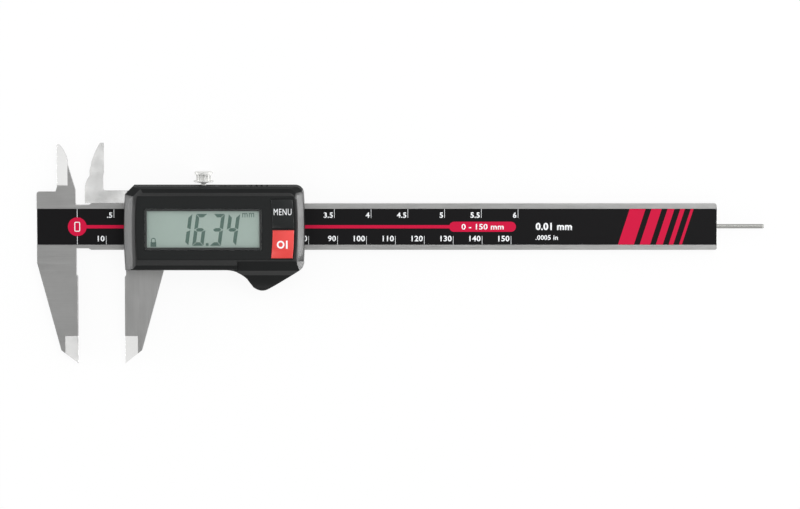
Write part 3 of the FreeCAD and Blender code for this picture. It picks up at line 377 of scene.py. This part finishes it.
def add_box(bm, low, high):
    """A box between two corners."""
    low, high = Vector(low), Vector(high)
    made = bmesh.ops.create_cube(bm, size=1.0)["verts"]
    bmesh.ops.scale(bm, verts=made, vec=high - low)
    bmesh.ops.translate(bm, verts=made, vec=(low + high) / 2)


def add_plate(bm, points, low, high):
    """A thin plate from its outline at one height up to another."""
    before = set(bm.faces)
    face = bm.faces.new([bm.verts.new((x, y, low)) for x, y in points])
    bmesh.ops.remove_doubles(bm, verts=face.verts[:], dist=1e-7)
    raised = bmesh.ops.extrude_face_region(bm, geom=[face])
    top = [v for v in raised["geom"] if isinstance(v, bmesh.types.BMVert)]
    bmesh.ops.translate(bm, verts=top, vec=(0, 0, high - low))
    bmesh.ops.recalc_face_normals(bm, faces=[f for f in bm.faces if f not in before])


def round_outline(centre, wide, tall, radius, steps=8):
    """Points round a rectangle with round corners, counterclockwise."""
    points = []
    across, up = wide / 2 - radius, tall / 2 - radius
    for corner, (sx, sy) in enumerate(((1, 1), (-1, 1), (-1, -1), (1, -1))):
        for step in range(steps + 1):
            angle = math.pi / 2 * (corner + step / steps)
            points.append((centre[0] + sx * across + radius * math.cos(angle),
                           centre[1] + sy * up + radius * math.sin(angle)))
    return points


def add_band(bm, outline, width, low, high):
    """A flat band of the given width inside an outline."""
    face = bm.faces.new([bm.verts.new((x, y, low)) for x, y in outline])
    bmesh.ops.remove_doubles(bm, verts=face.verts[:], dist=1e-7)
    before = set(bm.faces) - {face}
    rim = bmesh.ops.inset_individual(bm, faces=[face], thickness=width, use_even_offset=True)["faces"]
    bmesh.ops.delete(bm, geom=[face], context="FACES")
    rim = [f for f in rim if f.is_valid]
    raised = bmesh.ops.extrude_face_region(bm, geom=rim)
    top = [v for v in raised["geom"] if isinstance(v, bmesh.types.BMVert)]
    bmesh.ops.translate(bm, verts=top, vec=(0, 0, high - low))
    bmesh.ops.recalc_face_normals(bm, faces=[f for f in bm.faces if f not in before])


def add_text(bm, words, place, tall, low, high, align="LEFT", stretch=1.0, weight=0.02, spacing=1.06):
    """Raised words, as tall as given, with the lower left, centre or right of their box at a place."""
    curve = bpy.data.curves.new("words", "FONT")
    curve.body = words
    curve.size = 1.0
    curve.offset = weight
    curve.resolution_u = 3
    curve.space_character = spacing
    holder = bpy.data.objects.new("words", curve)
    bpy.context.scene.collection.objects.link(holder)
    depsgraph = bpy.context.evaluated_depsgraph_get()
    flat = bpy.data.meshes.new_from_object(holder.evaluated_get(depsgraph))
    part = bmesh.new()
    part.from_mesh(flat)
    bmesh.ops.remove_doubles(part, verts=part.verts, dist=1e-5)
    bmesh.ops.dissolve_degenerate(part, edges=part.edges, dist=1e-5)
    xs = [v.co.x for v in part.verts]
    ys = [v.co.y for v in part.verts]
    scale = tall / (max(ys) - min(ys))
    bmesh.ops.translate(part, verts=part.verts, vec=(-min(xs), -min(ys), 0))
    bmesh.ops.scale(part, verts=part.verts, vec=(scale * stretch, scale, 1))
    width = (max(xs) - min(xs)) * scale * stretch
    shift = {"LEFT": 0.0, "CENTER": -width / 2, "RIGHT": -width}[align]
    bmesh.ops.translate(part, verts=part.verts, vec=(shift, 0, 0))
    bmesh.ops.translate(part, verts=part.verts, vec=(place[0], place[1], low))
    for face in part.faces:
        face.normal_update()
        # the flat letters become the underside of the raised ones, so they look down
        if face.normal.z > 0:
            face.normal_flip()
    raised = bmesh.ops.extrude_face_region(part, geom=part.faces[:])
    top = [v for v in raised["geom"] if isinstance(v, bmesh.types.BMVert)]
    bmesh.ops.translate(part, verts=top, vec=(0, 0, high - low))
    bmesh.ops.recalc_face_normals(part, faces=part.faces)
    done = mesh_from(part, "words")
    bm.from_mesh(done)
    bpy.data.objects.remove(holder)
    for data in (done, flat):
        bpy.data.meshes.remove(data)


def round_shoulders(bm, low, high):
    """Rounds the edges at the foot and the top of the housing's end bevels, as its mould does."""
    ends = [min(v.co.x for v in bm.verts), max(v.co.x for v in bm.verts)]
    # at each height, how wide the rounding is and how far in from the ends its edges may lie
    for height, offset, reach in ((low, 1.1 * MM, 1.2 * MM), (high, 0.8 * MM, 4.6 * MM)):
        chosen = []
        for edge in bm.edges:
            level = all(abs(v.co.z - height) < 0.02 * MM for v in edge.verts)
            along = edge.verts[1].co - edge.verts[0].co
            middle = (edge.verts[0].co.x + edge.verts[1].co.x) / 2
            near = min(middle - ends[0], ends[1] - middle) < reach
            if level and near and abs(along.y) > abs(along.x) and len(edge.link_faces) == 2:
                if edge.calc_face_angle(0.0) > math.radians(8):
                    chosen.append(edge)
        bmesh.ops.bevel(bm, geom=chosen, offset=offset, offset_type="OFFSET", segments=5, profile=0.5,
                        affect="EDGES", material=-1, clamp_overlap=True)


def edged(node, width, material, smooth=30.0, segments=2, second=None, pick=None, shoulders=None):
    """A copy of a node with its edges broken, which stands for it.

    Faces that pick accepts get the second finish. Shoulders are the two heights that round_shoulders takes.
    """
    source = frame["nodes"][node]
    bm = bmesh.new()
    bm.from_mesh(source.data)
    # the node's loose triangles are joined, and flat neighbours become one face
    joined, shortest, flat_angle, edge_angle = 0.002 * MM, 0.0005 * MM, math.radians(0.3), math.radians(30)
    bmesh.ops.remove_doubles(bm, verts=bm.verts, dist=joined)
    bmesh.ops.dissolve_degenerate(bm, edges=bm.edges, dist=shortest)
    bmesh.ops.dissolve_limit(bm, angle_limit=flat_angle, verts=bm.verts, edges=bm.edges, delimit={"NORMAL"})
    if shoulders:
        round_shoulders(bm, *shoulders)
    for face in bm.faces:
        face.material_index = 0
        if pick and pick(face.calc_center_median(), face.normal):
            face.material_index = 1
    mesh = mesh_from(bm, node + "_finish")
    mesh.materials.append(MATERIALS[material])
    if second:
        mesh.materials.append(MATERIALS[second])
    piece = link_piece(node + "_finish", mesh, source["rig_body"], material)
    mesh.shade_smooth()
    if width:
        bevel = piece.modifiers.new("broken edges", "BEVEL")
        bevel.width = width * MM
        bevel.segments = segments
        bevel.limit_method = "ANGLE"
        bevel.angle_limit = edge_angle
        bevel.harden_normals = True
        bevel.miter_outer = "MITER_ARC"
    mesh.set_sharp_from_angle(angle=math.radians(smooth))
    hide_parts(node)
    return piece


def paint(node, material):
    """Gives a node that keeps its shape its finish."""
    holder = frame["nodes"][node]
    holder.data.materials.clear()
    holder.data.materials.append(MATERIALS[material])


class CaliperOperator:
    """What all the operators share."""
    bl_options = {"REGISTER", "UNDO"}


class CALIPER_OT_steel(CaliperOperator, Operator):
    """Beam, jaws, blades, covers and rod, with broken edges and ground finishes"""
    bl_idname = "caliper.steel"
    bl_label = "Ground steel"

    def execute(self, context):
        blade_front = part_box("beam_fixed_jaws")[1].z - 1.0 * MM
        tip_line, arm_line, root_line = [CENTRE_Y + y * MM for y in (-38.0, 8.0, 14.2)]
        ground_edge, sheet_edge, facet_angle = 0.12, 0.15, 8

        def fine_ground(middle, normal):
            """The slanted facets of the jaws' tips and of the blades."""
            leaning = 0.05 < abs(normal.z) < 0.995
            return leaning and (middle.y < tip_line or middle.y > root_line)

        def moving_ground(middle, normal):
            """The same on the slider, and the whole thin blade with its arm."""
            blade = middle.y > arm_line and middle.z < blade_front and abs(normal.z) > 0.3
            return blade or fine_ground(middle, normal)

        edged("beam_fixed_jaws", ground_edge, "beam_steel", facet_angle, 2, "bright_steel", fine_ground)
        edged("slider_frame", ground_edge, "jaw_steel", facet_angle, 2, "bright_steel", moving_ground)
        edged("back_cover", sheet_edge, "cover_steel")
        edged("beam_end_stop", sheet_edge, "cover_steel")
        edged("depth_rod", 0.0, "rod_steel")
        return {"FINISHED"}


class CALIPER_OT_print(CaliperOperator, Operator):
    """Film on the beam with its ticks, numerals, coloured line and disc"""
    bl_idname = "caliper.scale_print"
    bl_label = "Scale print"

    def execute(self, context):
        sizes = context.scene.caliper_print
        low, high = FILM_TOP, FILM_TOP + PRINT
        paint("scale_film", "scale_film")
        paint("scale_strip", "circuit")
        marks = bmesh.new()
        self.scale_marks(marks, sizes, low, high)
        zero = on_beam(0, 0)
        thin = 0.08 * MM
        for side in (-1, 1):
            near, far = zero.y + side * sizes.disc / 2, zero.y + side * FILM_HALF * MM
            add_box(marks, (zero.x - thin, min(near, far), low), (zero.x + thin, max(near, far), high))
        note_left = 158.5
        add_text(marks, "0.01 mm", on_beam(note_left, -1.2), 2.6 * MM, low, high, "LEFT", 1.0, 0.03)
        add_text(marks, ".0005 in", on_beam(note_left, -4.6), 1.7 * MM, low, high, "LEFT", 1.0, 0.02)
        link_piece("scale_marks", mesh_from(marks, "scale_marks"), "beam", "white")
        self.coloured(sizes, low, high)
        return {"FINISHED"}

    def scale_marks(self, marks, sizes, low, high):
        """The ticks with their numerals left of them: millimetres below the line and inches above it."""
        half = sizes.tick_width / 2
        mm_step, half_inch, numeral_gap = 10, 12.7, 0.55
        for i in range(1, sizes.last_mm // mm_step + 1):
            foot = on_beam(mm_step * i, -FILM_HALF)
            add_box(marks, (foot.x - half, foot.y, low), (foot.x + half, foot.y + 3.0 * MM, high))
            spot = on_beam(mm_step * i - numeral_gap, -5.1)
            add_text(marks, str(mm_step * i), spot, sizes.mm_numeral, low, high, "RIGHT", 1.06, 0.025)
        for i in range(1, sizes.last_half_inch + 1):
            foot = on_beam(half_inch * i, 3.1)
            add_box(marks, (foot.x - half, foot.y, low), (foot.x + half, foot.y + 3.05 * MM, high))
            words = ("%.1f" % (i / 2)).replace("0.5", ".5").replace(".0", "")
            spot = on_beam(half_inch * i - numeral_gap, 3.05)
            add_text(marks, words, spot, sizes.inch_numeral, low, high, "RIGHT", 1.0, 0.025)

    def coloured(self, sizes, low, high):
        """The line from the disc to the capsule, the disc, the capsule and the bars at the end."""
        ink = bmesh.new()
        plate_top = high + PRINT / 2
        radius = sizes.disc / 2
        half = sizes.line_width / 2
        zero = on_beam(0, 0)
        start, end = on_beam(128.6, 0), on_beam(151.7, 0)
        # the line starts just inside the disc and ends just inside the capsule
        add_box(ink, (zero.x + radius * 0.985, zero.y - half, low), (start.x + 0.4 * MM, zero.y + half, high))
        add_plate(ink, round_outline(zero, 2 * radius, 2 * radius, radius, 16), low, plate_top)
        middle, tall = (start + end) / 2, 3.5 * MM
        add_plate(ink, round_outline(middle, end.x - start.x, tall, tall / 2), low, plate_top)
        lean = 4.0
        for left, width in ((187.0, 5.5), (194.5, 3.6), (200.1, 2.4), (204.5, 1.6), (208.1, 1.0)):
            corners = [on_beam(left, -FILM_HALF), on_beam(left + width, -FILM_HALF),
                       on_beam(left + width + lean, FILM_HALF), on_beam(left + lean, FILM_HALF)]
            add_plate(ink, [(corner.x, corner.y) for corner in corners], low, high)
        link_piece("crimson_print", mesh_from(ink, "crimson_print"), "beam", "crimson")
        top_ink = bmesh.new()
        letter_top = plate_top + PRINT
        add_band(top_ink, round_outline(zero, 2.0 * MM, 3.4 * MM, 0.55 * MM), 0.3 * MM, plate_top, letter_top)
        range_words = "0 - %d mm" % sizes.last_mm
        add_text(top_ink, range_words, on_beam(140.15, -1.0), 2.0 * MM, plate_top, letter_top, "CENTER", 1.1)
        link_piece("zero_mark", mesh_from(top_ink, "zero_mark"), "beam", "white")


class CALIPER_OT_housing(CaliperOperator, Operator):
    """Moulded housing, battery door with thumb rest, and port cover"""
    bl_idname = "caliper.housing"
    bl_label = "Housing"

    def execute(self, context):
        bevel_foot, bevel_top = 12.2 * MM, 14.5 * MM
        moulded_edge, soft_angle = 0.3, 24.0

        def long_wall(middle, normal):
            """The walls along the beam, with the thumb rest's curve."""
            return abs(normal.y) > 0.25 and abs(normal.y) > 0.6 * abs(normal.x)

        def window_side(middle, normal):
            """The window's thin sides, which are seen on edge and would mirror all the light if clear."""
            return abs(normal.z) < 0.5

        # the long walls of the housing and the door, and the whole port cover, take the dull and lighter copy
        # of the housing finish, which stands in for the shade on them
        edged("housing", moulded_edge, "housing", soft_angle, 3, "housing_dull_shade", long_wall,
              (bevel_foot, bevel_top))
        edged("battery_door", moulded_edge, "housing", soft_angle, 3, "housing_dull_shade", long_wall)
        edged("port_cover", 0.1, "housing_dull_shade")
        paint("front_panel", "panel")
        window = edged("display_window", 0.0, "window", second="panel", pick=window_side)
        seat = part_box("display_window")[0].z
        for vertex in window.data.vertices:
            # a hair above the ledge it lies on, so that no two faces share a plane
            vertex.co.z = max(vertex.co.z, seat + 0.03 * MM)
        return {"FINISHED"}


class CALIPER_OT_display(CaliperOperator, Operator):
    """Display glass with its digits, unit and padlock"""
    bl_idname = "caliper.display"
    bl_label = "Display"

    # which of the seven segments a digit has: a at the top, on round to f at the upper left, g in the middle
    SEGMENTS = {"0": "abcdef", "1": "bc", "2": "abged", "3": "abgcd", "4": "fgbc", "5": "afgcd",
                "6": "afgedc", "7": "abc", "8": "abcdefg", "9": "abcdfg"}

    def execute(self, context):
        shown = context.scene.caliper_display
        paint("lcd_panel", "lcd")
        digits = bmesh.new()
        low, high = LCD_TOP, LCD_TOP + PRINT
        tall, stroke = shown.digit_height, shown.stroke
        # lower left of the first digit
        corner = on_slider(18.6, -5.85)
        for character in shown.reading:
            if character == ".":
                # the point is a small square in the gap after the last digit
                left, side = corner.x - 0.45 * MM, stroke * 0.75
                add_box(digits, (left, corner.y, low), (left + side, corner.y + side, high))
                corner.x += 0.8 * MM
                continue
            for segment in self.SEGMENTS[character]:
                upright = self.segment(segment, shown.digit_width, tall, stroke)
                outline = [(corner.x + x + shown.slant * y, corner.y + y) for x, y in upright]
                add_plate(digits, outline, low, high)
            corner.x += shown.pitch
        add_text(digits, "mm", on_slider(41.1, 3.95), 1.5 * MM, low, high, "LEFT", 0.85, 0.005, 1.12)
        self.padlock(digits, low, high)
        link_piece("display_digits", mesh_from(digits, "display_digits"), "slider", "segment")
        return {"FINISHED"}

    def segment(self, name, wide, tall, stroke):
        """The outline of one segment of an upright digit, with its ends cut to meet the next ones."""
        gap, half, middle = 0.12 * MM, stroke / 2, tall / 2
        if name in "ad":
            y, inner = (tall, tall - stroke) if name == "a" else (0, stroke)
            return [(gap, y), (wide - gap, y), (wide - stroke - gap, inner), (stroke + gap, inner)]
        if name == "g":
            # a bar that comes to a point at both ends
            point, shoulder = gap + half * 0.6, gap + stroke * 0.9
            return [(point, middle), (shoulder, middle + half), (wide - shoulder, middle + half),
                    (wide - point, middle), (wide - shoulder, middle - half), (shoulder, middle - half)]
        x, inner = (0, stroke) if name in "ef" else (wide, wide - stroke)
        if name in "fb":
            return [(x, middle + gap), (x, tall - gap), (inner, tall - stroke - gap),
                    (inner, middle + half + gap)]
        return [(x, gap), (x, middle - gap), (inner, middle - half - gap), (inner, stroke + gap)]

    def padlock(self, bm, low, high):
        """The small lock sign at the lower left."""
        body = on_slider(9.5, -6.2)
        add_box(bm, (body.x, body.y, low), (body.x + 2.0 * MM, body.y + 1.6 * MM, high))
        shackle = (body.x + 1.0 * MM, body.y + 1.9 * MM)
        add_band(bm, round_outline(shackle, 1.6 * MM, 2.4 * MM, 0.75 * MM), 0.3 * MM, low, high)


class CALIPER_OT_keys(CaliperOperator, Operator):
    """The two keys and their print"""
    bl_idname = "caliper.keys"
    bl_label = "Keys"

    def execute(self, context):
        edged("menu_button", 0.1, "key_dark")
        edged("zero_button", 0.1, "key_red")
        low, high = BUTTON_TOP, BUTTON_TOP + PRINT
        words = bmesh.new()
        add_text(words, "MENU", on_slider(55.0, 4.85), 2.2 * MM, low, high, "CENTER", 0.68, 0.0, 1.12)
        link_piece("menu_print", mesh_from(words, "menu_print"), "menu_button", "white")
        symbol = bmesh.new()
        ring = on_slider(54.3, -5.3)
        add_band(symbol, round_outline(ring, 2.6 * MM, 2.7 * MM, 1.3 * MM), 0.55 * MM, low, high)
        bar = on_slider(56.4, -5.3)
        half, reach = 0.28 * MM, 1.4 * MM
        add_box(symbol, (bar.x - half, bar.y - reach, low), (bar.x + half, bar.y + reach, high))
        link_piece("zero_print", mesh_from(symbol, "zero_print"), "zero_button", "white")
        return {"FINISHED"}


class CALIPER_OT_lock(CaliperOperator, Operator):
    """Lock screw, with its chrome"""
    bl_idname = "caliper.lock_screw"
    bl_label = "Lock screw"

    def execute(self, context):
        edged("lock_screw", 0.0, "lock_chrome")
        return {"FINISHED"}


class CALIPER_OT_inner(CaliperOperator, Operator):
    """Finishes of the screws and of what lies inside"""
    bl_idname = "caliper.inner"
    bl_label = "Inner pieces"

    FINISHES = {
        "screw_steel": ("end_stop_screws", "gib_screws", "back_cover_screws", "holder_pin", "housing_screws"),
        "brass": ("gib_strip", "depth_rod_holder", "clamp_pad"),
        "contact_gold": ("port_contacts", "battery_contacts"),
        "rubber": ("scale_wipers", "housing_gasket", "lcd_connectors", "keypad_membrane"),
        "board": ("sensor_board", "circuit_board"),
        "chip": ("board_header", "board_chips"),
        "cell_steel": ("battery_cell",),
    }

    def execute(self, context):
        for material, nodes in self.FINISHES.items():
            for node in nodes:
                paint(node, material)
        return {"FINISHED"}


class CALIPER_OT_stage(CaliperOperator, Operator):
    """Floor, surroundings, lamps and camera"""
    bl_idname = "caliper.stage"
    bl_label = "Stage"

    def execute(self, context):
        studio = context.scene.caliper_studio
        self.floor(context)
        self.surroundings(context, studio)
        self.lamps(context)
        self.camera(context, studio)
        context.scene.view_settings.view_transform = "Standard"
        return {"FINISHED"}

    def floor(self, context):
        """A pale floor that shows white to the eye and in reflections, and still takes a soft shadow."""
        bm = bmesh.new()
        bmesh.ops.create_grid(bm, x_segments=1, y_segments=1, size=3.0)
        piece = bpy.data.objects.new("floor", mesh_from(bm, "floor"))
        context.scene.collection.objects.link(piece)
        material, tree, shader = start_material("pale studio sweep", Base_Color=shade(linear("#f2f2f2")),
                                                Roughness=0.9, Specular_IOR_Level=0.1)
        rays = add(tree, "ShaderNodeLightPath").outputs
        straight = add(tree, "ShaderNodeMath", [(rays["Is Camera Ray"], 0), (rays["Is Glossy Ray"], 1)],
                       operation="MAXIMUM")
        seen = add(tree, "ShaderNodeMath", [(straight.outputs[0], 0), (rays["Is Transmission Ray"], 1)],
                   operation="MAXIMUM")
        # what is left of the plain surface keeps the object's shadow
        share = add(tree, "ShaderNodeMath", [(seen.outputs[0], 0)], operation="MULTIPLY", in1=0.9)
        white = add(tree, "ShaderNodeEmission", Strength=1.0)
        mix = add(tree, "ShaderNodeMixShader", [(share.outputs[0], 0), (shader.outputs["BSDF"], 1),
                                                (white.outputs["Emission"], 2)])
        output = next(n for n in tree.nodes if n.type == "OUTPUT_MATERIAL")
        tree.links.new(mix.outputs[0], output.inputs["Surface"])
        piece.data.materials.append(material)

    def surroundings(self, context, studio):
        """A room that is bright all round and dark straight above, with a soft change between them."""
        world = bpy.data.worlds.new("studio")
        world.use_nodes = True
        tree = world.node_tree
        tree.nodes.clear()
        place = add(tree, "ShaderNodeTexCoord")
        axes = add(tree, "ShaderNodeSeparateXYZ", [(place.outputs["Generated"], "Vector")])
        walls = add(tree, "ShaderNodeMapRange", [(axes.outputs["Z"], "Value")], From_Min=0.86, From_Max=0.97,
                    To_Min=studio.walls, To_Max=studio.overhead)
        soft = add(tree, "ShaderNodeBackground", [(walls.outputs["Result"], "Strength")], Color=(1, 1, 1, 1))
        add(tree, "ShaderNodeOutputWorld", [(soft.outputs[0], "Surface")])
        context.scene.world = world

    def lamps(self, context):
        """Two soft boxes above, and low walls of light at both ends that the housing's bowed ends mirror."""
        # each lamp's name, place, width and height in metres, and power in watts
        places = (
            ("blade_box", (-0.15, -0.07, 1.2), (0.24, 0.2), 0.155),
            ("beam_box", (0.3, 0.32, 1.2), (0.8, 0.4), 4.0),
            ("left_wall", (-0.8, 0.0, 0.15), (0.5, 0.12), 2.3),
            ("right_wall", (0.8, 0.0, 0.07), (0.5, 0.12), 4.8),
        )
        for name, place, size, power in places:
            light = bpy.data.lights.new(name, "AREA")
            light.shape = "RECTANGLE"
            light.size, light.size_y = size
            light.energy = power
            lamp = bpy.data.objects.new(name, light)
            lamp.location = place
            lamp.rotation_euler = (-Vector(place)).to_track_quat("-Z", "Y").to_euler()
            context.scene.collection.objects.link(lamp)

    def camera(self, context, studio):
        """A long lens nearly straight above, leaning a little towards the edge with the lock screw."""
        data = bpy.data.cameras.new("camera")
        data.lens = studio.lens
        data.sensor_width = 36.0
        distance = studio.view_width * studio.lens / data.sensor_width
        holder = bpy.data.objects.new("camera", data)
        # the middle of the photograph's frame, at about the height of the beam
        target = Vector((-0.17 * MM, -0.33 * MM, 4.4 * MM))
        back = Vector((0, math.sin(studio.tilt), math.cos(studio.tilt)))
        holder.location = target + back * distance
        up = Vector((0, math.cos(studio.tilt), -math.sin(studio.tilt)))
        turn = Matrix((Vector((1, 0, 0)), up, back)).transposed()
        holder.rotation_euler = turn.to_euler()
        data.clip_start, data.clip_end = 0.05, 20.0
        context.scene.collection.objects.link(holder)
        context.scene.camera = holder


OPERATORS = (CALIPER_OT_steel, CALIPER_OT_print, CALIPER_OT_housing, CALIPER_OT_display, CALIPER_OT_keys,
             CALIPER_OT_lock, CALIPER_OT_inner, CALIPER_OT_stage)


class CALIPER_PT_panel(Panel):
    """Lists the steps in the sidebar"""
    bl_label = "Caliper"
    bl_idname = "CALIPER_PT_panel"
    bl_space_type = "VIEW_3D"
    bl_region_type = "UI"
    bl_category = "Caliper"

    def draw(self, context):
        for operator in OPERATORS:
            self.layout.operator(operator.bl_idname)


def register():
    for name, group in GROUPS:
        bpy.utils.register_class(group)
        setattr(bpy.types.Scene, name, PointerProperty(type=group))
    for operator in OPERATORS:
        bpy.utils.register_class(operator)
    bpy.utils.register_class(CALIPER_PT_panel)


def unregister():
    bpy.utils.unregister_class(CALIPER_PT_panel)
    for operator in reversed(OPERATORS):
        bpy.utils.unregister_class(operator)
    for name, group in reversed(GROUPS):
        delattr(bpy.types.Scene, name)
        bpy.utils.unregister_class(group)


def main():
    register()
    make_materials(bpy.context.scene.caliper_colours)
    bpy.ops.caliper.steel()
    bpy.ops.caliper.scale_print()
    bpy.ops.caliper.housing()
    bpy.ops.caliper.display()
    bpy.ops.caliper.keys()
    bpy.ops.caliper.lock_screw()
    bpy.ops.caliper.inner()
    bpy.ops.caliper.stage()


if __name__ == "__main__":
    main()
